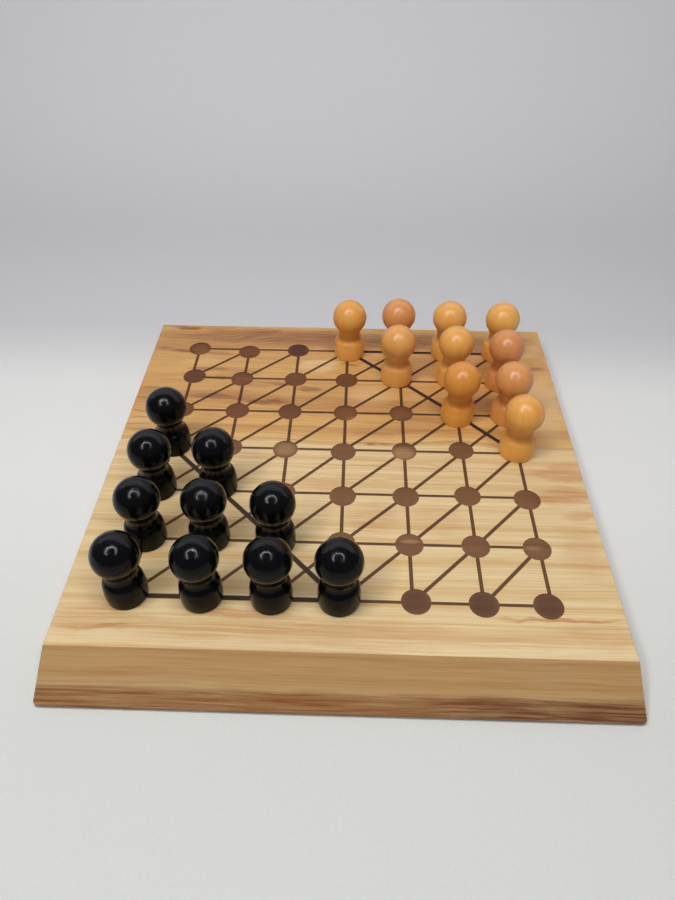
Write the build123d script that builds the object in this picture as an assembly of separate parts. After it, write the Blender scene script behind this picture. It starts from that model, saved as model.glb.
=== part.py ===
from build123d import *
import math
import os

# Halma set: a thick wooden board with a burnt network of points and lines, and two camps of
# turned pawns standing on it. Millimetres, +Z up, the viewer sits on the -Y side.
# The origin is the middle of the board's underside.

# The slab
top_length = 237.0          # left to right, along the grain
top_depth = 229.0           # front to back
slab_thickness = 19.0
bevel_angle = 43.0          # front and back edges, measured from the tabletop
end_slope = 10.0            # left and right ends, measured from upright
nose_radius = 2.0           # rounding of the lower edge
corner_radius = 1.5         # rounding of the lower corners, seen from above
edge_break = 0.5            # sanded edge round the playing face

# The network, ruled by hand, so that the steps between lines are not quite even
margin_left = 28.0          # from the edge of the playing face to the first column
margin_front = 24.5         # from the edge of the playing face to the first row
line_spacing = 30.0
column_slips = [0.5, 0.0, -0.5, 1.0, 0.0, -1.5]     # by how much each step is too long
row_slips = [1.0, 0.5, 1.0, -0.5, -1.0, -1.5]
camp_side = 4               # pawns along one side of a camp

# The burnt marks: widths, and how far the hot iron sank in
row_line_width = 1.6
column_line_width = 1.7
diagonal_width = 1.7
line_depth = 0.2
point_diameter = 12.9       # disc on every crossing
point_depth = 0.3
camp_line_width = 2.4       # heavier line round each camp
camp_line_depth = 0.4

# The turned pawn
pawn_height = 35.5
ball_diameter = 19.5
neck_diameter = 12.4
neck_height = 14.5          # of the narrowest place
foot_diameter = 17.5
foot_height = 3.0           # of the widest place
barrel_radius = 17.0        # how full the foot is, in profile
base_break = 0.6            # rounding of the base's edge
coats = {"black": 0.3, "natural": 0.0}    # what the lacquer adds to the wood all round

# Discs burnt beside their crossings: (column, row): (x, y)
point_nudges = {
    (4, 0): (1.5, 0.5),
    (6, 0): (-1.5, 0.0),
    (6, 1): (-1.0, -0.5),
    (3, 2): (0.0, -1.5),
    (4, 2): (-0.5, -1.0),
    (5, 2): (-0.5, 0.5),
    (6, 2): (-0.5, -1.0),
    (2, 3): (-1.0, -0.5),
    (3, 3): (-0.5, -1.5),
    (5, 3): (-0.5, 1.5),
    (2, 4): (-1.0, 0.0),
    (4, 4): (-0.5, 0.5),
    (0, 5): (1.5, 1.0),
    (1, 5): (-1.0, -0.5),
    (1, 6): (0.0, -2.5),
    (2, 6): (-0.5, 0.0),
}

# Pawns set down beside their crossings, in the same way
pawn_nudges = {
    (0, 0): (0.0, 1.0),
    (0, 1): (1.5, 0.5),
    (0, 2): (0.0, 0.5),
    (0, 3): (1.5, 0.5),
    (1, 0): (1.5, 0.5),
    (1, 1): (0.0, 0.5),
    (1, 2): (-1.0, 2.5),
    (2, 0): (1.0, 0.5),
    (2, 1): (0.0, -0.5),
    (3, 0): (0.0, 0.5),
    (3, 6): (1.0, -2.0),
    (4, 5): (-2.5, 2.0),
    (4, 6): (-1.5, 0.5),
    (5, 4): (-0.5, -2.0),
    (5, 5): (-0.5, 2.0),
    (5, 6): (-2.0, -1.0),
    (6, 3): (-1.0, 1.5),
    (6, 4): (-2.0, -1.0),
    (6, 5): (-1.5, -0.5),
    (6, 6): (0.0, -1.5),
}

column_names = "abcdefg"


def running_places(first, slips):
    """Places along one direction, from the first one and the slip of every step."""
    places = [first]
    for slip in slips:
        places.append(places[-1] + line_spacing + slip)
    return places


columns = running_places(margin_left - top_length / 2, column_slips)
rows = running_places(margin_front - top_depth / 2, row_slips)
last_column = len(columns) - 1
last_row = len(rows) - 1


def crossing(column, row):
    """Place of a crossing on the playing face."""
    return Vector(columns[column], rows[row])


def sloped_section(top_width, run):
    """Section through the slab: a level top, two sloping sides and rounded lower edges."""
    half_top = top_width / 2
    half_base = half_top + run
    section = make_face(
        Polyline(
            (-half_base, 0),
            (half_base, 0),
            (half_top, slab_thickness),
            (-half_top, slab_thickness),
            close=True,
        )
    )
    lower_corners = section.vertices().group_by(Axis.Y)[0]
    section = fillet(lower_corners, radius=nose_radius)
    upper_corners = section.vertices().group_by(Axis.Y)[-1]
    return fillet(upper_corners, radius=edge_break)


def make_slab():
    """Slab with bevelled front and back, and ends that lean out towards the base."""
    bevel_run = slab_thickness / math.tan(math.radians(bevel_angle))
    end_run = slab_thickness * math.tan(math.radians(end_slope))
    base_length = top_length + 2 * end_run
    base_depth = top_depth + 2 * bevel_run
    along_grain = extrude(Plane.YZ * sloped_section(top_depth, bevel_run), base_length / 2, both=True)
    across_grain = extrude(Plane.XZ * sloped_section(top_length, end_run), base_depth / 2, both=True)
    slab = along_grain & across_grain
    widest = slab.bounding_box().size
    plan = extrude(RectangleRounded(widest.X, widest.Y, corner_radius), slab_thickness)
    return slab & plan


def burnt_line(start, end, width):
    """Straight mark of the iron between two places on the playing face."""
    reach = end - start
    angle = math.degrees(math.atan2(reach.Y, reach.X))
    middle = (start + end) / 2
    return Pos(middle.X, middle.Y) * Rot(0, 0, angle) * Rectangle(reach.length, width)


def thin_lines():
    """Every row and column, and one way of diagonals, from crossing to crossing."""
    marks = []
    for row in range(len(rows)):
        marks.append(burnt_line(crossing(0, row), crossing(last_column, row), row_line_width))
    for column in range(len(columns)):
        start = crossing(column, 0)
        end = crossing(column, last_row)
        marks.append(burnt_line(start, end, column_line_width))
    for column in range(last_column):
        for row in range(last_row):
            start = crossing(column, row)
            end = crossing(column + 1, row + 1)
            marks.append(burnt_line(start, end, diagonal_width))
    return Sketch() + marks


def camp_outline(place):
    """Heavier lines round a camp: two sides from its corner, and the slanting side."""
    far = camp_side - 1
    lines = [
        burnt_line(place(0, 0), place(far, 0), camp_line_width),
        burnt_line(place(0, 0), place(0, far), camp_line_width),
    ]
    for step in range(far):
        start = place(step, far - step)
        end = place(step + 1, far - step - 1)
        lines.append(burnt_line(start, end, camp_line_width))
    return lines


def camp_lines():
    """Outlines of the camp in the front left corner and of the one across from it."""
    near = camp_outline(crossing)
    far = camp_outline(lambda column, row: crossing(last_column - column, last_row - row))
    return Sketch() + near + far


def points():
    """Disc on every crossing."""
    discs = []
    for column in range(len(columns)):
        for row in range(len(rows)):
            nudge = Vector(*point_nudges.get((column, row), (0.0, 0.0)))
            place = crossing(column, row) + nudge
            discs.append(Pos(place.X, place.Y) * Circle(point_diameter / 2))
    return Sketch() + discs


def make_board():
    """Slab with the network sunk into its playing face. No line runs on across a disc."""
    discs = points()
    marks = [
        (thin_lines() - discs, line_depth),
        (camp_lines() - discs, camp_line_depth),
        (discs, point_depth),
    ]
    board = make_slab()
    for outline, depth in marks:
        board -= extrude(Pos(0, 0, slab_thickness) * outline, -depth)
    return board


def make_pawn(coat):
    """Turned and lacquered pawn about its own axis: barrel foot, hollow neck and ball head."""
    ball_radius = ball_diameter / 2 + coat
    neck_radius = neck_diameter / 2 + coat
    foot_radius = foot_diameter / 2 + coat
    full_barrel = barrel_radius + coat
    # The coat under the base lifts everything else
    neck_level = neck_height + coat
    foot_level = foot_height + coat
    full_height = pawn_height + 2 * coat
    ball_centre = Vector(0, full_height - ball_radius)
    barrel_centre = Vector(foot_radius - full_barrel, foot_level)
    # The hollow above the narrowest place is tangent to the ball, the one below to the barrel
    rise = ball_centre.Y - neck_level
    upper_radius = (rise**2 - ball_radius**2 + neck_radius**2) / (2 * (ball_radius - neck_radius))
    drop = neck_level - foot_level
    both_radii = ((foot_radius - neck_radius) ** 2 + drop**2) / (2 * (foot_radius - neck_radius))
    lower_radius = both_radii - full_barrel
    upper_centre = Vector(neck_radius + upper_radius, neck_level)
    lower_centre = Vector(neck_radius + lower_radius, neck_level)
    under_ball = ball_centre + (upper_centre - ball_centre).normalized() * ball_radius
    above_barrel = barrel_centre + (lower_centre - barrel_centre).normalized() * full_barrel
    neck = Vector(neck_radius, neck_level)
    base_radius = barrel_centre.X + math.sqrt(full_barrel**2 - foot_level**2)
    base_edge = Vector(base_radius, 0)
    top = Vector(0, full_height)
    # Each arc leaves in the direction that the one below it arrived in
    barrel_start = Vector(foot_level, base_radius - barrel_centre.X)
    barrel = TangentArc(base_edge, above_barrel, tangent=barrel_start)
    lower_hollow = TangentArc(above_barrel, neck, tangent=barrel % 1)
    upper_hollow = TangentArc(neck, under_ball, tangent=(0, 1))
    ball = TangentArc(under_ball, top, tangent=upper_hollow % 1)
    outline = [
        Line((0, 0), base_edge),
        barrel,
        lower_hollow,
        upper_hollow,
        ball,
        Line(top, (0, 0)),
    ]
    half_section = make_face(outline)
    base_corner = half_section.vertices().sort_by_distance(base_edge)[0]
    half_section = fillet(base_corner, radius=base_break)
    return revolve(Plane.XZ * half_section, axis=Axis.Z)


def camp_points():
    """Crossings of the black camp by the front left corner, then of the other one."""
    near = []
    far = []
    for column in range(camp_side):
        for row in range(camp_side - column):
            near.append((column, row))
            far.append((last_column - column, last_row - row))
    return {"black": near, "natural": far}


os.makedirs("parts", exist_ok=True)
export_step(make_board(), "parts/board.step")

for colour, crossings in camp_points().items():
    pawn = make_pawn(coats[colour])
    for column, row in crossings:
        nudge = Vector(*pawn_nudges.get((column, row), (0.0, 0.0)))
        place = crossing(column, row) + nudge
        stand = Pos(place.X, place.Y, slab_thickness)
        node = f"{colour}_pawn_{column_names[column]}{row + 1}"
        export_step(stand * pawn, f"parts/{node}.step")
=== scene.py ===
"""Halma set in Blender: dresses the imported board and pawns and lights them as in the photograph.

All places are metres in the row frame: +X to the right, +Y away from the viewer, +Z up, the
origin in the middle of the board's underside. Patterns in the materials are worked out in
millimetres, which is how the real surfaces are measured.
"""

import logging
import math
import random
from dataclasses import dataclass
from enum import Enum

import bmesh
import bpy
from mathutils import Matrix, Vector


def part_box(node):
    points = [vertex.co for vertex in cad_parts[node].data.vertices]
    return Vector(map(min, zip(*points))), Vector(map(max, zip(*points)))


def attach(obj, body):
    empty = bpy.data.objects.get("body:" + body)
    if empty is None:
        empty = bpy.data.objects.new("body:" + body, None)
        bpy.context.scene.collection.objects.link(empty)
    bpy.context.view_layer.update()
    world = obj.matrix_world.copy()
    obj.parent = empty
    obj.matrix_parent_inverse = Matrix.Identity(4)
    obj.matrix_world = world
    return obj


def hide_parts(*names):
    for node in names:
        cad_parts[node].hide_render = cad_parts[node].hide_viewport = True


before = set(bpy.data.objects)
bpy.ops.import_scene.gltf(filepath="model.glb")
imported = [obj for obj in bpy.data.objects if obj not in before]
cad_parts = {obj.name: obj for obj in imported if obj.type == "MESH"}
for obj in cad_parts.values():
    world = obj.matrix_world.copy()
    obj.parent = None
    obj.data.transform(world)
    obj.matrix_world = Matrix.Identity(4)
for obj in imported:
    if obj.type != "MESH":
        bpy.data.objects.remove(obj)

log = logging.getLogger("halma_set")

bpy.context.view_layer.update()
MM = 0.001
MM_PER_METRE = 1000.0
BOARD_NODE = "board"
BOARD_TOP_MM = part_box(BOARD_NODE)[1].z * MM_PER_METRE
BLANK_LAYER = "turning_blank"
TONE_LAYER = "tone"

Tree = bpy.types.NodeTree
Node = bpy.types.Node
Socket = bpy.types.NodeSocket


def linear_colour(code: str) -> tuple[float, float, float, float]:
    """Turns an sRGB hex colour into linear light.

    Args:
        code: Six hex digits, such as "c8a060".

    Returns:
        Linear red, green and blue, with an alpha of 1.
    """
    channels = []
    for start in (0, 2, 4):
        value = int(code[start:start + 2], 16) / 255
        channels.append(value / 12.92 if value <= 0.04045 else ((value + 0.055) / 1.055) ** 2.4)
    return (*channels, 1.0)


def add_node(tree: Tree, kind: str, inputs: dict | None = None, **settings) -> Node:
    """Adds one node with its settings and links.

    Args:
        tree: The node tree of a material or of the world.
        kind: The node's type, such as "ShaderNodeMath".
        inputs: For each input, by name or number: a plain value, a socket to link, or a node
            whose first output is linked.
        **settings: The node's own properties.

    Returns:
        The new node.
    """
    node = tree.nodes.new(kind)
    for name, value in settings.items():
        setattr(node, name, value)
    for key, value in (inputs or {}).items():
        if isinstance(value, Node):
            value = value.outputs[0]
        if isinstance(value, Socket):
            tree.links.new(value, node.inputs[key])
        else:
            node.inputs[key].default_value = value
    return node


def add_math(tree: Tree, operation: str, *values: object, clamp: bool = False) -> Node:
    """Adds one step of arithmetic.

    Args:
        tree: The node tree.
        operation: The step, such as "MULTIPLY".
        *values: Numbers, sockets or nodes, in the step's own order.
        clamp: Whether the result is kept between 0 and 1.

    Returns:
        The new node.
    """
    inputs = dict(enumerate(values))
    return add_node(tree, "ShaderNodeMath", inputs, operation=operation, use_clamp=clamp)


def add_vector_math(tree: Tree, operation: str, *values: object) -> Node:
    """Adds one step of arithmetic on places or directions.

    Args:
        tree: The node tree.
        operation: The step, such as "MULTIPLY".
        *values: Triples, sockets or nodes, in the step's own order.

    Returns:
        The new node.
    """
    return add_node(tree, "ShaderNodeVectorMath", dict(enumerate(values)), operation=operation)


def add_mix(
    tree: Tree, factor: object, first: object, second: object, blend: str = "MIX"
) -> Socket:
    """Adds a mix of two colours.

    Args:
        tree: The node tree.
        factor: How much of the second colour there is, as a socket or a node.
        first: The first colour, as a hex code or a socket.
        second: The second colour, likewise.
        blend: How the second colour lies over the first one.

    Returns:
        The mixed colour.
    """
    inputs = {"Factor": factor, "A": first, "B": second}
    for name in ("A", "B"):
        if isinstance(inputs[name], str):
            inputs[name] = linear_colour(inputs[name])
    mix = add_node(tree, "ShaderNodeMix", inputs, data_type="RGBA", blend_type=blend)
    return mix.outputs["Result"]


def add_millimetres(tree: Tree, place: object) -> Socket:
    """Turns a place in metres into millimetres.

    Args:
        tree: The node tree.
        place: The place in metres, as a socket or a node.

    Returns:
        The place in millimetres.
    """
    scaled = add_node(
        tree, "ShaderNodeVectorMath", {0: place, "Scale": MM_PER_METRE}, operation="SCALE"
    )
    return scaled.outputs["Vector"]


def new_material(name: str) -> tuple[bpy.types.Material, Tree]:
    """Makes a material with no nodes yet.

    Args:
        name: The material's name.

    Returns:
        The material and its node tree.
    """
    material = bpy.data.materials.new(name)
    material.use_nodes = True
    material.node_tree.nodes.clear()
    return material, material.node_tree


def add_surface(tree: Tree, inputs: dict) -> None:
    """Adds the shader that a material ends in, and its output.

    Args:
        tree: The node tree.
        inputs: The shader's inputs by name.
    """
    shader = add_node(tree, "ShaderNodeBsdfPrincipled", inputs)
    add_node(tree, "ShaderNodeOutputMaterial", {"Surface": shader})


@dataclass(frozen=True)
class Ramp:
    """How one value turns into another.

    Attributes:
        start: Where the first value starts to count.
        end: Where it stops counting, above the start or below it.
        low: The second value up to the start.
        high: The second value from the end on.
        soft: Whether the change eases in and out.
    """

    start: float
    end: float
    low: float = 0.0
    high: float = 1.0
    soft: bool = True

    def add(self, tree: Tree, value: object) -> Node:
        """Adds the node that turns the value.

        Args:
            tree: The node tree.
            value: The first value, as a socket or a node.

        Returns:
            The node whose first output is the second value.
        """
        return add_node(
            tree, "ShaderNodeMapRange",
            {
                "Value": value,
                "From Min": self.start,
                "From Max": self.end,
                "To Min": self.low,
                "To Max": self.high,
            },
            interpolation_type="SMOOTHSTEP" if self.soft else "LINEAR",
        )


@dataclass(frozen=True)
class Noise:
    """Random pattern that can be drawn out along an axis.

    Attributes:
        size_mm: Size of its grains along X, Y and Z.
        detail: Number of finer layers over the first one.
        roughness: Strength of each finer layer against the one before it.
    """

    size_mm: tuple[float, float, float]
    detail: float
    roughness: float = 0.5

    def add(self, tree: Tree, place: Socket) -> Node:
        """Adds the nodes of the pattern.

        Args:
            tree: The node tree.
            place: Place in millimetres.

        Returns:
            The node whose first output is the pattern.
        """
        grains = tuple(1 / size for size in self.size_mm)
        drawn_out = add_node(tree, "ShaderNodeMapping", {"Vector": place, "Scale": grains})
        return add_node(
            tree, "ShaderNodeTexNoise",
            {"Vector": drawn_out, "Scale": 1.0, "Detail": self.detail, "Roughness": self.roughness},
        )


# How far a mark reaches down, and the shares of its half size at which it starts and is full
MARK_DEPTH_MM = 30.0
MARK_RIM = 1.15
MARK_CORE = 0.4


@dataclass(frozen=True)
class Mark:
    """A place on the playing face that differs from the wood around it.

    Attributes:
        x: Middle, to the right, in millimetres.
        y: Middle, to the back, in millimetres.
        length: Size along the grain, in millimetres.
        width: Size across the grain, in millimetres.
        strength: How strongly it shows, from 0 to 1.
        rise: How much farther back the right end lies than the left one, in millimetres.
    """

    x: float
    y: float
    length: float
    width: float
    strength: float = 0.5
    rise: float = 0.0

    def add(self, tree: Tree, place: Socket) -> Node:
        """Adds the nodes of a soft oval mask.

        Args:
            tree: The node tree.
            place: Place in millimetres.

        Returns:
            The node whose first output is the mask.
        """
        inside = add_node(
            tree, "ShaderNodeMapping",
            {
                "Vector": place,
                "Location": (self.x, self.y, BOARD_TOP_MM),
                "Rotation": (0, 0, math.atan2(self.rise, self.length)),
                "Scale": (self.length / 2, self.width / 2, MARK_DEPTH_MM),
            },
            vector_type="TEXTURE",
        )
        reach = add_vector_math(tree, "LENGTH", inside).outputs["Value"]
        return Ramp(MARK_RIM, MARK_CORE, high=self.strength).add(tree, reach)


def add_marks(tree: Tree, place: Socket, marks: tuple[Mark, ...]) -> Node:
    """Adds one mask that covers several marks.

    Args:
        tree: The node tree.
        place: Place in millimetres.
        marks: The marks.

    Returns:
        The node whose first output is the mask.
    """
    mask = marks[0].add(tree, place)
    for mark in marks[1:]:
        mask = add_math(tree, "MAXIMUM", mask, mark.add(tree, place))
    return mask


# Streaks and patches of the wood, then places where the iron burnt less or more
HEART_STREAKS = (
    Mark(-102, 111.5, 18, 4, 0.9),
    Mark(-110, 105, 30, 12),
    Mark(-52, 104, 170, 19, 0.75),
    Mark(-75, 105.5, 60, 4, 0.75, -1),
    Mark(-35, 106, 40, 3.5),
    Mark(-60, 99, 26, 4),
    Mark(-26, 99, 56, 7, 0.6, -6),
    Mark(-10, 96, 20, 13, 0.35),
    Mark(44, 103, 100, 13, 0.55),
    Mark(95, 106, 40, 6, 0.35),
    Mark(-112, 88.5, 12, 4, 0.6),
    Mark(-99, 86.5, 22, 4, 0.75),
    Mark(-78, 85, 28, 4, 0.55),
    Mark(-80, 69, 30, 4.5, 0.75, -2),
    Mark(-62, 67, 30, 11, 0.4),
    Mark(-75, 61.5, 40, 2.6, 0.4),
    Mark(-48, 56, 36, 8, 0.4),
    Mark(-38, 55.5, 14, 3.4, 0.75),
    Mark(-21, 52, 18, 4, 0.8),
    Mark(-74, 44, 42, 5, 0.75, -3),
    Mark(-46, 40.5, 40, 5, 0.8, -3),
    Mark(0, 76, 14, 3),
    Mark(-108, 50.5, 26, 2.4, 0.55),
    Mark(-110, 40, 22, 2.2),
    Mark(-112, 30, 18, 2.2),
    Mark(-110, 25, 22, 2, 0.45),
    Mark(-112, 19, 18, 2, 0.45),
    Mark(-110, 14, 22, 2, 0.45),
    Mark(44, 27.5, 34, 8, 0.5, 1),
    Mark(35, 21, 56, 10, 0.35, 1),
    Mark(13, 6.5, 6, 3, 0.75),
    Mark(16, 8, 26, 3),
    Mark(96, 30, 20, 12, 0.3),
    Mark(14, 18, 30, 14, 0.2),
    Mark(110, 75, 12, 5, 0.6),
)
HEART_PALES = (
    Mark(-17, 75, 26, 15, 0.6),
    Mark(14, 47, 34, 18, 0.35),
    Mark(108, 42, 28, 66, 0.55),
    Mark(108, 94, 22, 16, 0.4),
    Mark(-107, 20, 24, 20, 0.35),
    Mark(-88, 77, 30, 6, 0.3),
)
SAP_STREAKS = (
    Mark(111, -8, 22, 10, 0.6, 3),
    Mark(110, -24, 20, 9, 0.6, -3),
    Mark(112, -38, 16, 7, 0.5, 2),
    Mark(110, -13, 44, 10, 0.8),
    Mark(106, -27, 40, 13, 0.85),
    Mark(108, -60, 24, 34, 0.35),
    Mark(14, -43, 30, 24, 0.4),
    Mark(45, -43, 30, 24, 0.3),
    Mark(-105, -101, 34, 22, 0.35),
    Mark(106, -103, 34, 18, 0.3),
    Mark(-78, -51, 22, 12, 0.45),
    Mark(-10, -23, 26, 9, 0.45),
    Mark(-90, -49, 60, 2.8),
    Mark(20, -8, 90, 2.2, 0.4, 1),
    Mark(40, -10.5, 70, 2, 0.4),
    Mark(10, -18, 110, 3, 0.4, -1),
    Mark(-40, -98, 60, 6, 0.65),
    Mark(92, -96, 64, 3, 0.9, 1),
    Mark(-98, -96, 40, 2.4, 0.6),
    Mark(-96, -101, 48, 2.2, 0.5, -1),
    Mark(-98, -106, 44, 3, 0.8, -1),
    Mark(-14, -103, 20, 3, 0.6),
    Mark(0, -106, 240, 14, 0.4),
)
PALE_SCORCHES = (
    Mark(-31, 2, 14, 12, 0.32),
    Mark(30, 1, 14, 11, 0.42),
    Mark(31, -57, 11, 3, 0.4),
    Mark(86, -59, 9, 3, 0.2),
    Mark(-61, 60, 13, 12, 0.12),
    Mark(-90, 89, 14, 13, 0.25),
    Mark(30, 32, 14, 13, 0.2),
    Mark(0, 32, 14, 13, 0.15),
    Mark(3, 28, 9, 2.5, 0.4, 3),
)
DEEP_SCORCHES = (
    Mark(-30, 89, 16, 16, 1),
    Mark(-90, 62, 16, 16, 0.45),
    Mark(32, -89, 15, 15, 0.75),
    Mark(60, -90, 16, 16, 0.85),
    Mark(88, -90, 16, 16, 0.8),
)


@dataclass(frozen=True)
class BurntBoardWood:
    """Oiled solid hardwood, planed and sanded, with marks burnt in by a hot iron.

    The board was sawn flat, with the pith below its back half. There the growth rings lie almost
    level and show as wide, wandering amber figure with dark heart streaks; towards the front they
    stand steeper and show as fine, nearly straight lines in pale sapwood. A brown streak follows
    the lower front edge. The thin oil film leaves a soft sheen. The burnt marks tint the wood, and
    so does the end grain; the bevels are darker partly in the wood's own tint and partly as painted
    shade where they turn away from the light. The other colours are the wood's own.

    Attributes:
        edge_streak: Brown streak along the front edge, at its right end.
        edge_streak_left: The same streak at its left end.
        pith_mm: Place of the pith, to the back and up.
        along_rings: How much a step along the grain counts against one across it.
        heart_radius_mm: Distance from the pith at which heartwood turns into sapwood.
        heart_blend_mm: How far the change reaches to either side.
        ring_spacing_mm: Usual distance between growth rings.
        ring_detail: Finer layers of the rings.
        ring_roughness: Strength of each finer layer.
        ring_dark: From the rings' pattern to how dark they are.
        ring_share: Share of the rings in the dark grain, next to the fibres.
        figure: Pattern that bends the grain.
        figure_reach_mm: How far it bends, from a place near the front to one near the back.
        fibres: Fine pattern along the grain.
        fibre_dark: From the fibres' pattern to how dark they are.
        fibre_cover: From the fibres' pattern to how well streaks cover them.
        fibre_rough: From the fibres' pattern to the roughness of bare wood.
        wander: Pattern that frays the streaks.
        wander_mm: How far it moves them.
        band_slope: How steeply the brown streak's upper limit runs down towards the back.
        band_level_mm: Where that limit would meet the middle of the board.
        band_blend_mm: How softly the streak starts, from above the limit to below it.
        band_right_mm: Where the streak turns from its left colour into its right one.
        band_strength: How strongly it shows, from left to right.
        end_turn: How far a face looks along the grain before it counts as an end.
        bevel_turn: How far a face looks to the front or back before it counts as bevelled.
        point_depth_mm: How deep the discs are sunk.
        camp_depth_mm: How deep the camps' outlines are sunk.
        depth_slack_mm: By how much a depth may miss.
        network_reach_mm: Half the width within which wood can be burnt.
        scorch: Pattern of uneven burning.
        scorch_dark: From that pattern to how much of the lines' tint is laid over.
        relief_strength: Strength of the fibres' relief.
        relief_mm: Height of the fibres' relief.
    """

    name: str = "oiled hardwood with burnt marks"
    sapwood: str = "dfc798"
    sapwood_line: str = "c29658"
    heartwood: str = "d3a560"
    heartwood_line: str = "a36b38"
    heart_streak: str = "7c3f20"
    heart_pale: str = "e2c18f"
    sap_streak: str = "bc8450"
    edge_streak: str = "7c4828"
    edge_streak_left: str = "985d28"
    burnt_line: str = "6f5339"
    burnt_point: str = "8b6c5a"
    camp_line: str = "3b2f28"
    pale_scorch: str = "e2d2c4"
    deep_scorch: str = "604534"
    end_grain: str = "d8cbb8"
    # Bevel tint: partly the wood's own and partly painted shade where the bevels turn from the light
    bevel_wood_and_shade: str = "d9cab8"
    pith_mm: tuple[float, float] = (70.0, -70.0)
    along_rings: float = 0.03
    heart_radius_mm: float = 108.5
    heart_blend_mm: float = 3.0
    ring_spacing_mm: float = 6.0
    ring_detail: float = 5.0
    ring_roughness: float = 0.66
    ring_dark: Ramp = Ramp(0.36, 0.70)
    ring_share: float = 0.55
    figure: Noise = Noise((95.0, 42.0, 42.0), 2.5)
    figure_reach_mm: Ramp = Ramp(-25.0, 60.0, 5.5, 34.0)
    fibres: Noise = Noise((38.0, 0.9, 0.9), 3.0, 0.62)
    fibre_dark: Ramp = Ramp(0.35, 0.75, high=0.4)
    fibre_cover: Ramp = Ramp(0.3, 0.7, 0.4, 1.3, soft=False)
    fibre_rough: Ramp = Ramp(0.3, 0.7, 0.41, 0.53, soft=False)
    wander: Noise = Noise((22.0, 9.0, 9.0), 3.0, 0.55)
    wander_mm: tuple[float, float, float] = (14.0, 9.0, 0.0)
    band_slope: float = -0.22
    band_level_mm: float = -19.4
    band_blend_mm: Ramp = Ramp(-1.2, 1.6)
    band_right_mm: Ramp = Ramp(10.0, 85.0)
    band_strength: Ramp = Ramp(0.0, 1.0, 0.8, 0.95, soft=False)
    end_turn: Ramp = Ramp(0.5, 0.95, soft=False)
    bevel_turn: Ramp = Ramp(0.3, 0.6, soft=False)
    point_depth_mm: float = 0.3
    camp_depth_mm: float = 0.4
    depth_slack_mm: float = 0.05
    network_reach_mm: float = 105.0
    scorch: Noise = Noise((16.0, 16.0, 16.0), 4.0, 0.6)
    scorch_dark: Ramp = Ramp(0.35, 0.65, high=0.25)
    burnt_roughness: float = 0.7
    relief_strength: float = 0.12
    relief_mm: float = 0.1
    ior: float = 1.48

    def build(self) -> bpy.types.Material:
        """Builds the material.

        Returns:
            The finished material.
        """
        material, tree = new_material(self.name)
        coordinates = add_node(tree, "ShaderNodeTexCoord")
        place = add_millimetres(tree, coordinates.outputs["Object"])
        grain_place = self.add_grain_place(tree, place)
        fibres = self.fibres.add(tree, grain_place)
        wood = self.add_rings(tree, grain_place, fibres)
        wood = self.add_streaks(tree, place, grain_place, fibres, wood)
        wood = self.add_sides(tree, coordinates.outputs["Normal"], wood)
        colour, burnt = self.add_burns(tree, place, wood)
        bare_roughness = self.fibre_rough.add(tree, fibres)
        roughness = add_node(
            tree, "ShaderNodeMix",
            {"Factor": burnt, "A": bare_roughness, "B": self.burnt_roughness},
        )
        relief = add_node(
            tree, "ShaderNodeBump",
            {"Height": fibres, "Strength": self.relief_strength, "Distance": self.relief_mm * MM},
        )
        add_surface(
            tree, {"Base Color": colour, "Roughness": roughness, "IOR": self.ior, "Normal": relief}
        )
        return material

    def add_grain_place(self, tree: Tree, place: Socket) -> Socket:
        """Bends the place so that the grain wanders, more so towards the back.

        Args:
            tree: The node tree.
            place: Place in millimetres.

        Returns:
            The bent place.
        """
        parts = add_node(tree, "ShaderNodeSeparateXYZ", {0: place})
        centred = add_math(tree, "SUBTRACT", self.figure.add(tree, place), 0.5)
        reach = self.figure_reach_mm.add(tree, parts.outputs["Y"])
        across = add_math(tree, "MULTIPLY_ADD", centred, reach, parts.outputs["Y"])
        bent = add_node(
            tree, "ShaderNodeCombineXYZ", {0: parts.outputs["X"], 1: across, 2: parts.outputs["Z"]}
        )
        return bent.outputs["Vector"]

    def add_rings(self, tree: Tree, grain_place: Socket, fibres: Node) -> Socket:
        """Adds the growth rings, dark lines in pale wood, with heartwood inside sapwood.

        Args:
            tree: The node tree.
            grain_place: Bent place in millimetres.
            fibres: Fine pattern along the grain.

        Returns:
            The wood's colour.
        """
        from_pith = add_vector_math(tree, "SUBTRACT", grain_place, (0.0, *self.pith_mm))
        flat = add_vector_math(tree, "MULTIPLY", from_pith, (self.along_rings, 1.0, 1.0))
        radius = add_vector_math(tree, "LENGTH", flat).outputs["Value"]
        rings = add_node(
            tree, "ShaderNodeTexNoise",
            {
                "W": add_math(tree, "MULTIPLY", radius, 1 / self.ring_spacing_mm),
                "Scale": 1.0,
                "Detail": self.ring_detail,
                "Roughness": self.ring_roughness,
            },
            noise_dimensions="1D",
        )
        ring_dark = self.ring_dark.add(tree, rings)
        fibre_dark = self.fibre_dark.add(tree, fibres)
        dark = add_math(tree, "MULTIPLY_ADD", ring_dark, self.ring_share, fibre_dark, clamp=True)
        inside = self.heart_radius_mm - self.heart_blend_mm
        outside = self.heart_radius_mm + self.heart_blend_mm
        heart = Ramp(outside, inside).add(tree, radius)
        pale = add_mix(tree, heart, self.sapwood, self.heartwood)
        lined = add_mix(tree, heart, self.sapwood_line, self.heartwood_line)
        return add_mix(tree, dark, pale, lined)

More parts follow.
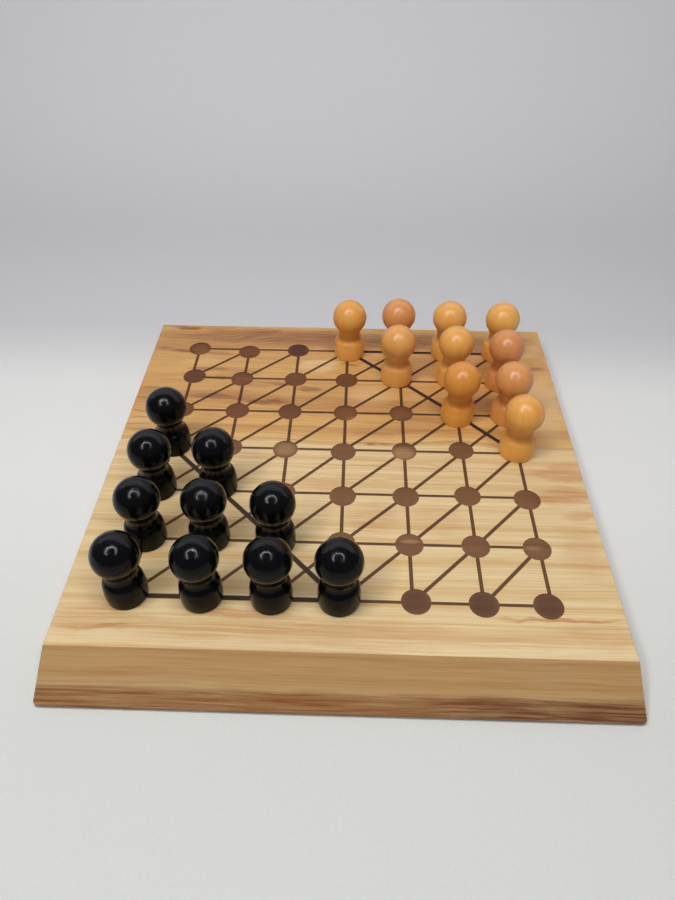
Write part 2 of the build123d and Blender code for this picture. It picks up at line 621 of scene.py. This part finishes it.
    def add_streaks(
        self, tree: Tree, place: Socket, grain_place: Socket, fibres: Node, wood: Socket
    ) -> Socket:
        """Adds the streaks that can be told apart and the brown one along the front edge.

        Args:
            tree: The node tree.
            place: Place in millimetres.
            grain_place: Bent place in millimetres.
            fibres: Fine pattern along the grain.
            wood: The colour so far.

        Returns:
            The wood's colour.
        """
        wander = self.wander.add(tree, place).outputs["Color"]
        offset = add_vector_math(tree, "SUBTRACT", wander, (0.5, 0.5, 0.5))
        frayed = add_vector_math(tree, "MULTIPLY_ADD", offset, self.wander_mm, place)
        frayed_place = frayed.outputs["Vector"]
        cover = self.fibre_cover.add(tree, fibres)
        for marks, colour in (
            (HEART_PALES, self.heart_pale),
            (HEART_STREAKS, self.heart_streak),
            (SAP_STREAKS, self.sap_streak),
        ):
            streaks = add_marks(tree, frayed_place, marks)
            mask = add_math(tree, "MULTIPLY", streaks, cover, clamp=True)
            wood = add_mix(tree, mask, wood, colour)

        # The brown streak lies below a plane that leaves the slab towards its middle
        frayed_parts = add_node(tree, "ShaderNodeSeparateXYZ", {0: frayed_place})
        bent_parts = add_node(tree, "ShaderNodeSeparateXYZ", {0: grain_place})
        limit = add_math(
            tree, "MULTIPLY_ADD", frayed_parts.outputs["Y"], self.band_slope, self.band_level_mm
        )
        below = add_math(tree, "SUBTRACT", limit, bent_parts.outputs["Z"])
        to_right = self.band_right_mm.add(tree, frayed_parts.outputs["X"])
        strength = self.band_strength.add(tree, to_right)
        band = add_math(tree, "MULTIPLY", self.band_blend_mm.add(tree, below), strength)
        covering_band = add_math(tree, "MULTIPLY", band, cover, clamp=True)
        brown = add_mix(tree, to_right, self.edge_streak_left, self.edge_streak)
        return add_mix(tree, covering_band, wood, brown)

    def add_sides(self, tree: Tree, normal: Socket, wood: Socket) -> Socket:
        """Darkens the ends, where the saw cut across fibres and oil soaks in, and the bevels,
        partly in the wood's own tint and partly as painted shade where they turn from the light.

        Args:
            tree: The node tree.
            normal: The surface's direction.
            wood: The colour so far.

        Returns:
            The wood's colour.
        """
        parts = add_node(tree, "ShaderNodeSeparateXYZ", {0: normal})
        # Faces that look to the front or back get painted shade along with the wood's darker tint
        for axis, turn, tint in (
            ("X", self.end_turn, self.end_grain),
            ("Y", self.bevel_turn, self.bevel_wood_and_shade),
        ):
            aside = add_math(tree, "ABSOLUTE", parts.outputs[axis])
            wood = add_mix(tree, turn.add(tree, aside), wood, tint, blend="MULTIPLY")
        return wood

    def add_burns(self, tree: Tree, place: Socket, wood: Socket) -> tuple[Socket, Node]:
        """Adds the burnt marks, told apart by how deep the iron sank, as a tint over the wood.

        Args:
            tree: The node tree.
            place: Place in millimetres.
            wood: The wood's colour.

        Returns:
            The final colour, and the mask of everything burnt.
        """
        parts = add_node(tree, "ShaderNodeSeparateXYZ", {0: place})
        sunk = add_math(tree, "SUBTRACT", BOARD_TOP_MM, parts.outputs["Z"])
        deep_enough = add_math(tree, "GREATER_THAN", sunk, self.depth_slack_mm)
        sides = add_vector_math(tree, "ABSOLUTE", place)
        side_parts = add_node(tree, "ShaderNodeSeparateXYZ", {0: sides})
        far = add_math(tree, "MAXIMUM", side_parts.outputs["X"], side_parts.outputs["Y"])
        near_enough = add_math(tree, "LESS_THAN", far, self.network_reach_mm)
        burnt = add_math(tree, "MULTIPLY", deep_enough, near_enough)
        at_point = add_math(tree, "COMPARE", sunk, self.point_depth_mm, self.depth_slack_mm)
        camp_limit = self.camp_depth_mm - self.depth_slack_mm
        at_camp = add_math(tree, "GREATER_THAN", sunk, camp_limit)
        tint = add_mix(tree, at_point, self.burnt_line, self.burnt_point)
        tint = add_mix(tree, at_camp, tint, self.camp_line)
        darker = self.scorch_dark.add(tree, self.scorch.add(tree, place))
        tint = add_mix(tree, darker, tint, self.burnt_line)
        tint = add_mix(tree, add_marks(tree, place, PALE_SCORCHES), tint, self.pale_scorch)
        tint = add_mix(tree, add_marks(tree, place, DEEP_SCORCHES), tint, self.deep_scorch)
        return add_mix(tree, burnt, wood, tint, blend="MULTIPLY"), burnt


def add_own_place(tree: Tree, place: Socket) -> Socket:
    """Shifts the place by a step of each pawn's own, so that no two pawns have the same grain.

    Args:
        tree: The node tree.
        place: Place in metres.

    Returns:
        The shifted place in millimetres.
    """
    blank = add_node(tree, "ShaderNodeAttribute", attribute_name=BLANK_LAYER)
    return add_millimetres(tree, add_vector_math(tree, "ADD", place, blank.outputs["Vector"]))


@dataclass(frozen=True)
class BlackLacquer:
    """Black lacquer sprayed on turned wood: a deep, smooth film that mirrors lamps sharply.

    Attributes:
        orange_peel: Pattern of the film's faint waves.
        film_mm: Height of the waves.
        smears: Pattern of duller and clearer places.
        sheen: From the smears to the roughness.
    """

    name: str = "black lacquer on turned wood"
    colour: str = "09090b"
    orange_peel: Noise = Noise((2.6, 2.6, 2.6), 1.0)
    film_mm: float = 0.15
    smears: Noise = Noise((7.0, 7.0, 7.0), 3.0)
    sheen: Ramp = Ramp(0.35, 0.7, 0.11, 0.22, soft=False)
    ior: float = 1.25

    def build(self) -> bpy.types.Material:
        """Builds the material.

        Returns:
            The finished material.
        """
        material, tree = new_material(self.name)
        place = add_node(tree, "ShaderNodeTexCoord").outputs["Object"]
        own_place = add_own_place(tree, place)
        waves = self.orange_peel.add(tree, own_place)
        film = add_node(
            tree, "ShaderNodeBump",
            {"Height": waves, "Strength": 1.0, "Distance": self.film_mm * MM},
        )
        roughness = self.sheen.add(tree, self.smears.add(tree, own_place))
        add_surface(
            tree,
            {
                "Base Color": linear_colour(self.colour),
                "Roughness": roughness,
                "IOR": self.ior,
                "Normal": film,
            },
        )
        return material


@dataclass(frozen=True)
class ClearLacquer:
    """Honey-toned clear lacquer on turned beech: upright grain and flecks under a satin film.

    Its colour also holds painted light low on the foot and painted shade in the neck.

    Attributes:
        amber: Wood of tone 0.
        yellow: Wood of the tone below.
        yellow_tone: The tone that is yellowest.
        pink: Wood of tone 1.
        grain_tint: What the grain lays over the wood.
        grain: Pattern of the upright grain.
        grain_cover: From the grain's pattern to how strongly it shows.
        foot: Lighter colour low down, painted light where the feet lack light from the front.
        foot_light_mm: How much of it shows, from a height downwards.
        neck_painted_shade: Painted shade laid over the wood in the neck, under the ball.
        neck_shade_height_mm: Height at which the painted shade is strongest.
        neck_shade_blend_mm: How much shows, from a distance above or below that height inwards.
        flecks: Pattern of the flecks.
        fleck_cover: From the flecks' pattern to how strongly they show.
        relief_strength: Strength of the grain's relief.
        relief_mm: Height of the grain's relief.
        glow: Share of the light that passes through the outermost wood.
        glow_reach_mm: How far it goes there, for red, green and blue.
    """

    name: str = "honey lacquer on turned beech"
    amber: str = "da933f"
    yellow: str = "ebb15e"
    yellow_tone: float = 0.35
    pink: str = "d6925a"
    grain_tint: str = "f0e1ce"
    grain: Noise = Noise((2.2, 8.8, 44.0), 3.0, 0.6)
    grain_cover: Ramp = Ramp(0.3, 0.7, 0.1, 0.7, soft=False)
    # Painted light: lighter colour low on the foot
    foot: str = "ffbc5e"
    foot_light_mm: Ramp = Ramp(11.5, 7.5, high=0.4)
    # Painted shade in the neck, under the ball
    neck_painted_shade: str = "e0d2ca"
    neck_shade_height_mm: float = 14.0
    neck_shade_blend_mm: Ramp = Ramp(4.5, 0.0)
    fleck: str = "b8743a"
    flecks: Noise = Noise((1 / 2.2, 1 / 2.2, 1 / 0.45), 2.0)
    fleck_cover: Ramp = Ramp(0.6, 0.75, high=0.25)
    relief_strength: float = 0.08
    relief_mm: float = 0.05
    roughness: float = 0.31
    ior: float = 1.46
    glow: float = 0.1
    glow_reach_mm: tuple[float, float, float] = (2.0, 1.0, 0.5)

    def build(self) -> bpy.types.Material:
        """Builds the material.

        Returns:
            The finished material.
        """
        material, tree = new_material(self.name)
        place = add_node(tree, "ShaderNodeTexCoord").outputs["Object"]
        own_place = add_own_place(tree, place)
        parts = add_node(tree, "ShaderNodeSeparateXYZ", {0: add_millimetres(tree, place)})
        height = parts.outputs["Z"]
        grain = self.grain.add(tree, own_place)
        wood = add_mix(
            tree, self.grain_cover.add(tree, grain), self.add_tones(tree), self.grain_tint,
            blend="MULTIPLY",
        )
        # Painted light: a lighter colour low on the foot, where the feet lack light from the front
        wood = add_mix(tree, self.foot_light_mm.add(tree, height), wood, self.foot)
        # Painted shade: darker in the neck, under the ball
        from_neck = add_math(tree, "SUBTRACT", height, self.neck_shade_height_mm)
        neck_shade = self.neck_shade_blend_mm.add(tree, add_math(tree, "ABSOLUTE", from_neck))
        wood = add_mix(tree, neck_shade, wood, self.neck_painted_shade, blend="MULTIPLY")
        flecks = self.fleck_cover.add(tree, self.flecks.add(tree, own_place))
        wood = add_mix(tree, flecks, wood, self.fleck)
        relief = add_node(
            tree, "ShaderNodeBump",
            {"Height": grain, "Strength": self.relief_strength, "Distance": self.relief_mm * MM},
        )
        add_surface(
            tree,
            {
                "Base Color": wood,
                "Roughness": self.roughness,
                "IOR": self.ior,
                "Normal": relief,
                "Subsurface Weight": self.glow,
                "Subsurface Radius": self.glow_reach_mm,
                "Subsurface Scale": MM,
            },
        )
        return material

    def add_tones(self, tree: Tree) -> Socket:
        """Adds the wood's colour by the tone of each pawn.

        Args:
            tree: The node tree.

        Returns:
            The wood's colour.
        """
        tone = add_node(tree, "ShaderNodeAttribute", attribute_name=TONE_LAYER)
        tones = add_node(tree, "ShaderNodeValToRGB", {"Fac": tone.outputs["Fac"]})
        stops = tones.color_ramp.elements
        stops[0].color = linear_colour(self.amber)
        stops[1].color = linear_colour(self.pink)
        stops.new(self.yellow_tone).color = linear_colour(self.yellow)
        return tones.outputs["Color"]


@dataclass(frozen=True)
class PaleFloor:
    """Matt white card under the set, with painted shade on the viewer's side and a greyer,
    faintly lilac painted shade behind the set.

    Attributes:
        white: Card beside and behind the set.
        near: Painted shade on the card on the viewer's side, where less light falls.
        near_shade_mm: Where the one turns into the other, towards the viewer.
        wall: Greyer, faintly lilac painted shade on the card behind the set, up to the wall.
        wall_shade_mm: Where the card turns into it, towards the back.
        high_wall: Card high up the wall, where the painted shade gives way.
        high_mm: Where the wall turns into it, towards the back.
        pulp: What the paper's fibres lay over the card.
        fibres: Pattern of those fibres.
        glow: Colour of the wall's painted glow, which shows only in reflections.
        reflection_glow_strength: Strength of that painted glow.
        reflection_glow_mm: Heights over which that sets in.
    """

    # The pale lilac grey is painted shade on white card
    name: str = "matt card, white and pale lilac grey"
    white: str = "e4e4e2"
    # Painted shade on the viewer's side
    near: str = "d6d7d3"
    near_shade_mm: Ramp = Ramp(20.0, -140.0)
    # Greyer, faintly lilac painted shade behind the set
    wall: str = "cdccce"
    wall_shade_mm: Ramp = Ramp(70.0, 150.0)
    high_wall: str = "e2e1e5"
    high_mm: Ramp = Ramp(230.0, 520.0)
    pulp: str = "f6f6f4"
    fibres: Noise = Noise((1 / 0.7, 1 / 0.7, 1 / 0.7), 3.0)
    roughness: float = 0.9
    # Painted glow of the wall, seen only in reflections
    glow: str = "e4e4f2"
    reflection_glow_strength: float = 1.7
    reflection_glow_mm: Ramp = Ramp(200.0, 600.0)

    def build(self) -> bpy.types.Material:
        """Builds the material.

        Returns:
            The finished material.
        """
        material, tree = new_material(self.name)
        coordinates = add_node(tree, "ShaderNodeTexCoord")
        place = add_millimetres(tree, coordinates.outputs["Object"])
        parts = add_node(tree, "ShaderNodeSeparateXYZ", {0: place})
        colour = self.white
        # Painted shade: the card turns darker towards the viewer and greyer behind the set, then
        # nearly white high up the wall
        for ramp, next_colour in (
            (self.near_shade_mm, self.near),
            (self.wall_shade_mm, self.wall),
            (self.high_mm, self.high_wall),
        ):
            colour = add_mix(tree, ramp.add(tree, parts.outputs["Y"]), colour, next_colour)
        fibres = self.fibres.add(tree, place)
        colour = add_mix(tree, fibres, colour, self.pulp, blend="MULTIPLY")
        # Painted reflection: high up, the wall glows where it shows in reflections, and throws no more
        # light for it
        rays = add_node(tree, "ShaderNodeLightPath")
        high_up = self.reflection_glow_mm.add(tree, parts.outputs["Z"])
        glow = add_math(tree, "MULTIPLY", rays.outputs["Is Glossy Ray"], high_up)
        add_surface(
            tree,
            {
                "Base Color": colour,
                "Roughness": self.roughness,
                "Emission Color": linear_colour(self.glow),
                "Emission Strength": add_math(tree, "MULTIPLY", glow, self.reflection_glow_strength),
            },
        )
        return material


class Camp(Enum):
    """The two camps, by the first word of their pawns' names."""

    BLACK = "black"
    NATURAL = "natural"


@dataclass
class Board:
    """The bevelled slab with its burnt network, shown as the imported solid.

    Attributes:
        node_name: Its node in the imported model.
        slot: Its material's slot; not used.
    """

    node_name: str = BOARD_NODE
    slot: str = "board_wood"

    def dress(self, finish: BurntBoardWood) -> None:
        """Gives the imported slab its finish.

        Args:
            finish: The wood with its burnt marks.
        """
        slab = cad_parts[self.node_name]
        slab.data.materials.clear()
        slab.data.materials.append(finish.build())
        log.info("board dressed: %d faces", len(slab.data.polygons))


@dataclass
class TurnedPawn:
    """One pawn: a ball head on a hollow neck and a barrel foot, turned in one piece.

    The profile is made of arcs, each of which leaves in the direction that the last one ended in.

    Attributes:
        ball_diameter: Size of the bare ball.
        neck_diameter: Size of the bare neck at its narrowest.
        neck_height: Height of that place.
        foot_diameter: Size of the bare foot at its widest.
        foot_height: Height of that place.
        barrel_radius: How full the foot is, in profile.
        shoulder_height: Where the foot starts to turn in.
        shoulder_radius: How tightly it turns in there.
        base_break: Rounding of the base's edge.
        coat: What the lacquer adds all round.
        segments: Steps round the pawn.
        steps_per_arc: Steps along each arc of the profile.
        out_of_round: Least and greatest share by which a pawn is oval.
        sharp_degrees: Angle between faces from which an edge looks sharp.
    """

    ball_diameter: float = 19.5 * MM
    neck_diameter: float = 12.4 * MM
    neck_height: float = 14.5 * MM
    foot_diameter: float = 17.7 * MM
    foot_height: float = 4.0 * MM
    barrel_radius: float = 40.0 * MM
    shoulder_height: float = 9.3 * MM
    shoulder_radius: float = 4.0 * MM
    base_break: float = 0.6 * MM
    coat: float = 0.0
    segments: int = 72
    steps_per_arc: int = 14
    out_of_round: tuple[float, float] = (0.001, 0.004)
    sharp_degrees: float = 60.0

    def profile(self, height: float) -> list[tuple[float, float]]:
        """Outline of half a section, from the base's edge up to the crown.

        Args:
            height: The pawn's full height.

        Returns:
            Pairs of radius and height, without the two ends on the axis.
        """
        ball = self.ball_diameter / 2 + self.coat
        neck = self.neck_diameter / 2 + self.coat
        foot = self.foot_diameter / 2 + self.coat
        barrel = self.barrel_radius + self.coat
        neck_level = self.neck_height + self.coat
        foot_level = self.foot_height + self.coat
        ball_height = height - ball
        rise = ball_height - neck_level
        upper = (rise**2 - ball**2 + neck**2) / (2 * (ball - neck))
        barrel_x = foot - barrel
        base_angle = -math.asin((foot_level - self.base_break) / barrel)
        base_radius = barrel_x + barrel * math.cos(base_angle)
        ball_start = math.atan2(-rise, neck + upper)
        # The shoulder starts in the barrel's direction and ends in the lower hollow's
        shoulder = self.shoulder_radius + self.coat
        barrel_end = math.asin((self.shoulder_height - self.foot_height) / barrel)
        shoulder_x = barrel_x + (barrel - shoulder) * math.cos(barrel_end)
        shoulder_z = foot_level + (barrel - shoulder) * math.sin(barrel_end)
        inward = neck - shoulder_x
        above = neck_level - shoulder_z
        lower = (inward**2 + above**2 - shoulder**2) / (2 * (shoulder - inward))
        shoulder_end = math.atan2(above, inward + lower)

        def arc(centre: tuple[float, float], radius: float, start: float, end: float) -> list:
            """Points along an arc from one direction to another, without the first one."""
            points = []
            for step in range(1, self.steps_per_arc + 1):
                angle = start + (end - start) * step / self.steps_per_arc
                across = centre[0] + radius * math.cos(angle)
                up = centre[1] + radius * math.sin(angle)
                points.append((across, up))
            return points

        edge = self.base_break
        points = [(base_radius - edge, 0.0)]
        points += arc((base_radius - edge, edge), edge, -math.pi / 2, base_angle)
        points += arc((barrel_x, foot_level), barrel, base_angle, barrel_end)
        points += arc((shoulder_x, shoulder_z), shoulder, barrel_end, shoulder_end)
        points += arc((neck + lower, neck_level), lower, math.pi + shoulder_end, math.pi)
        points += arc((neck + upper, neck_level), upper, math.pi, math.pi + ball_start)
        points += arc((0.0, ball_height), ball, ball_start, math.pi / 2)[:-1]
        return points

    def turn(self, name: str, height: float, chance: random.Random) -> bpy.types.Mesh:
        """Turns the profile round the pawn's axis, very slightly oval.

        Args:
            name: The mesh's name.
            height: The pawn's full height.
            chance: Where the small differences between pawns come from.

        Returns:
            The closed mesh.
        """
        oval = chance.uniform(*self.out_of_round)
        oval_turn = chance.uniform(0, math.tau)
        shape = bmesh.new()
        rings = []
        for radius, level in self.profile(height):
            ring = []
            for step in range(self.segments):
                angle = math.tau * step / self.segments
                reach = radius * (1 - oval + oval * math.cos(2 * (angle - oval_turn)))
                ring.append(shape.verts.new((reach * math.cos(angle), reach * math.sin(angle), level)))
            rings.append(ring)
        for lower_ring, upper_ring in zip(rings, rings[1:]):
            for step in range(self.segments):
                after = (step + 1) % self.segments
                shape.faces.new(
                    (lower_ring[step], lower_ring[after], upper_ring[after], upper_ring[step])
                )
        crown = shape.verts.new((0, 0, height))
        base = shape.verts.new((0, 0, 0))
        for step in range(self.segments):
            after = (step + 1) % self.segments
            shape.faces.new((rings[-1][step], rings[-1][after], crown))
            shape.faces.new((rings[0][after], rings[0][step], base))
        mesh = bpy.data.meshes.new(name)
        shape.to_mesh(mesh)
        shape.free()
        mesh.shade_smooth()
        mesh.set_sharp_from_angle(angle=math.radians(self.sharp_degrees))
        return mesh

    def build(
        self, name: str, seed: int, tone: float, finish: bpy.types.Material
    ) -> bpy.types.Object:
        """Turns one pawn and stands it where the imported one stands.

        Args:
            name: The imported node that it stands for, which is also its body.
            seed: Sets the small differences between pawns.
            tone: The wood's tone, from 0, amber, by way of yellow to 1, pink.
            finish: The pawn's lacquer.

        Returns:
            The pawn.
        """
        low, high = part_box(name)
        chance = random.Random(seed)
        mesh = self.turn(name + "_turned", high.z - low.z, chance)
        blank = mesh.attributes.new(BLANK_LAYER, "FLOAT_VECTOR", "POINT")
        offset = [chance.uniform(0, 1) for _ in range(3)]
        blank.data.foreach_set("vector", offset * len(mesh.vertices))
        shade = mesh.attributes.new(TONE_LAYER, "FLOAT", "POINT")
        shade.data.foreach_set("value", [tone] * len(mesh.vertices))
        mesh.materials.append(finish)
        pawn = bpy.data.objects.new(name + "_turned", mesh)
        bpy.context.scene.collection.objects.link(pawn)
        pawn.location = ((low.x + high.x) / 2, (low.y + high.y) / 2, low.z)
        pawn.rotation_euler.z = chance.uniform(0, math.tau)
        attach(pawn, name)
        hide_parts(name)
        return pawn


# Tones of the clear lacquered pawns, by the crossing each stands on
TONES = {
    "d7": 0.2, "e7": 0.9, "f7": 0.4, "g7": 0.35,
    "e6": 0.65, "f6": 0.28, "g6": 1.0,
    "f5": 0.0, "g5": 0.9,
    "g4": 0.22,
}
HIDDEN_TONE = 0.5
BLACK_COAT = 0.3 * MM


@dataclass
class PawnCamp:
    """The ten pawns of one camp.

    Attributes:
        camp: Which of the two camps it is.
        pattern: The shape of its pawns.
        first_seed: Seed of its first pawn; each of the others has the next one.
    """

    camp: Camp
    pattern: TurnedPawn
    first_seed: int

    def build(self, finish: bpy.types.Material) -> None:
        """Turns every pawn of the camp.

        Args:
            finish: The camp's lacquer.
        """
        names = sorted(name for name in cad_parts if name.startswith(self.camp.value))
        for count, name in enumerate(names):
            crossing = name[-2:]
            tone = TONES.get(crossing, HIDDEN_TONE)
            pawn = self.pattern.build(name, self.first_seed + count, tone, finish)
            log.info("%s turned", name)


@dataclass
class Backdrop:
    """Floor that sweeps up into a pale wall behind the set.

    Attributes:
        half_width: Half its width.
        front: Where it starts, on the viewer's side.
        bend_start: Where the floor starts to rise.
        bend_radius: Radius of the rise.
        wall_height: Height of the wall.
        bend_steps: Steps along the rise.
    """

    half_width: float = 1.6
    front: float = -1.4
    bend_start: float = 0.30
    bend_radius: float = 0.25
    wall_height: float = 1.2
    bend_steps: int = 24

    def build(self) -> None:
        """Makes the sweep."""
        line = [(self.front, 0.0)]
        for step in range(self.bend_steps + 1):
            angle = math.pi / 2 * step / self.bend_steps
            line.append((
                self.bend_start + self.bend_radius * math.sin(angle),
                self.bend_radius * (1 - math.cos(angle)),
            ))
        line.append((self.bend_start + self.bend_radius, self.wall_height))
        shape = bmesh.new()
        pairs = []
        for y, z in line:
            left = shape.verts.new((-self.half_width, y, z))
            right = shape.verts.new((self.half_width, y, z))
            pairs.append((left, right))
        for (left, right), (next_left, next_right) in zip(pairs, pairs[1:]):
            shape.faces.new((left, right, next_right, next_left))
        mesh = bpy.data.meshes.new("sweep")
        shape.to_mesh(mesh)
        shape.free()
        mesh.shade_smooth()
        mesh.materials.append(PaleFloor().build())
        sweep = bpy.data.objects.new("sweep", mesh)
        bpy.context.scene.collection.objects.link(sweep)


@dataclass
class Lighting:
    """An open ring of lamps, a broad soft lamp behind it and a room dark towards the viewer.

    Attributes:
        ring_centre: Middle of the ring.
        ring_radius: Radius of the ring.
        ring_lamps: Number of lamps in it.
        ring_start: Direction of the first lamp, in degrees from +X.
        ring_span: Degrees from the first lamp to the last.
        lamp_size: Diameter of each lamp.
        ring_power: Power of all of them together, in watts.
        uneven: How much stronger the lamps are on the bright side of the ring.
        bright_side: Direction of the bright side, in degrees from +X.
        soft_place: Where the broad lamp hangs.
        soft_size: Its width.
        soft_power: Its power, in watts.
        room_back: Brightness of the room above and behind the board.
        room_front: Brightness of the room on the viewer's side.
        room_bright_way: Direction of the bright part.
        room_blend: How much of that direction a view needs for full brightness.
        room_colour: Colour of the room.
    """

    ring_centre: tuple[float, float, float] = (-0.05, -0.48, 0.82)
    ring_radius: float = 0.37
    ring_lamps: int = 18
    ring_start: float = -25.0
    ring_span: float = 230.0
    lamp_size: float = 0.08
    ring_power: float = 5.8
    uneven: float = 0.6
    bright_side: float = 130.0
    soft_place: tuple[float, float, float] = (0.0, 0.1, 1.4)
    soft_size: float = 1.4
    soft_power: float = 0.3
    room_back: float = 0.24
    room_front: float = 0.18
    room_bright_way: tuple[float, float, float] = (0.0, 0.85, 0.53)
    room_blend: float = 0.7
    room_colour: str = "f4f5ff"

    def add_lamp(
        self, name: str, place: tuple[float, float, float], size: float, power: float, shape: str
    ) -> None:
        """Adds one area lamp aimed at the board.

        Args:
            name: The lamp's name.
            place: Where it hangs.
            size: Its width.
            power: Its power in watts.
            shape: "DISK" or "SQUARE".
        """
        data = bpy.data.lights.new(name, "AREA")
        data.shape = shape
        data.size = size
        data.energy = power
        lamp = bpy.data.objects.new(name, data)
        lamp.location = place
        lamp.rotation_euler = (-Vector(place)).to_track_quat("-Z", "Y").to_euler()
        bpy.context.scene.collection.objects.link(lamp)

    def build(self) -> None:
        """Makes the lamps and the room."""
        self.add_lamps()
        self.add_room()

    def add_lamps(self) -> None:
        """Hangs the ring of lamps and the broad one."""
        x, y, z = self.ring_centre
        for step in range(self.ring_lamps):
            angle = math.radians(self.ring_start + self.ring_span * step / (self.ring_lamps - 1))
            share = 1 + self.uneven * math.cos(angle - math.radians(self.bright_side))
            across = self.ring_radius * math.cos(angle)
            back = self.ring_radius * math.sin(angle)
            power = share * self.ring_power / self.ring_lamps
            place = (x + across, y + back, z)
            self.add_lamp(f"ring_lamp_{step}", place, self.lamp_size, power, "DISK")
        self.add_lamp("soft_overhead", self.soft_place, self.soft_size, self.soft_power, "SQUARE")

    def add_room(self) -> None:
        """Makes the world, brighter behind the board than towards the viewer."""
        world = bpy.data.worlds.new("room dark on the viewer's side")
        world.use_nodes = True
        bpy.context.scene.world = world
        tree = world.node_tree
        tree.nodes.clear()
        direction = add_node(tree, "ShaderNodeTexCoord").outputs["Generated"]
        lean = add_vector_math(tree, "DOT_PRODUCT", direction, self.room_bright_way)
        brightness = Ramp(0.0, self.room_blend, self.room_front, self.room_back)
        strength = brightness.add(tree, lean.outputs["Value"])
        background = add_node(
            tree, "ShaderNodeBackground",
            {"Color": linear_colour(self.room_colour), "Strength": strength},
        )
        add_node(tree, "ShaderNodeOutputWorld", {"Surface": background})


@dataclass
class Viewpoint:
    """The photograph's viewpoint, solved from the ruled network.

    Attributes:
        place: Place of the camera.
        turn_degrees: Its turn about X, Y and Z.
        focal_length: Its focal length, in millimetres.
        film_height: Height of its upright film, in millimetres.
    """

    place: tuple[float, float, float] = (0.00355, -0.25984, 0.26807)
    turn_degrees: tuple[float, float, float] = (46.476, -0.115, 1.755)
    focal_length: float = 27.93
    film_height: float = 36.0

    def build(self) -> None:
        """Makes the camera and gives it to the scene."""
        data = bpy.data.cameras.new("viewpoint")
        data.lens = self.focal_length
        data.sensor_width = self.film_height
        camera = bpy.data.objects.new("viewpoint", data)
        bpy.context.scene.collection.objects.link(camera)
        camera.location = self.place
        camera.rotation_euler = [math.radians(turn) for turn in self.turn_degrees]
        bpy.context.scene.camera = camera


def main() -> None:
    """Builds every part of the scene in order."""
    logging.basicConfig(level=logging.INFO)
    Board().dress(BurntBoardWood())
    black_camp = PawnCamp(Camp.BLACK, TurnedPawn(coat=BLACK_COAT), first_seed=500)
    black_camp.build(BlackLacquer().build())
    natural_camp = PawnCamp(Camp.NATURAL, TurnedPawn(), first_seed=700)
    natural_camp.build(ClearLacquer().build())
    Backdrop().build()
    Lighting().build()
    Viewpoint().build()
    bpy.context.scene.view_settings.view_transform = "Standard"


if __name__ == "__main__":
    main()
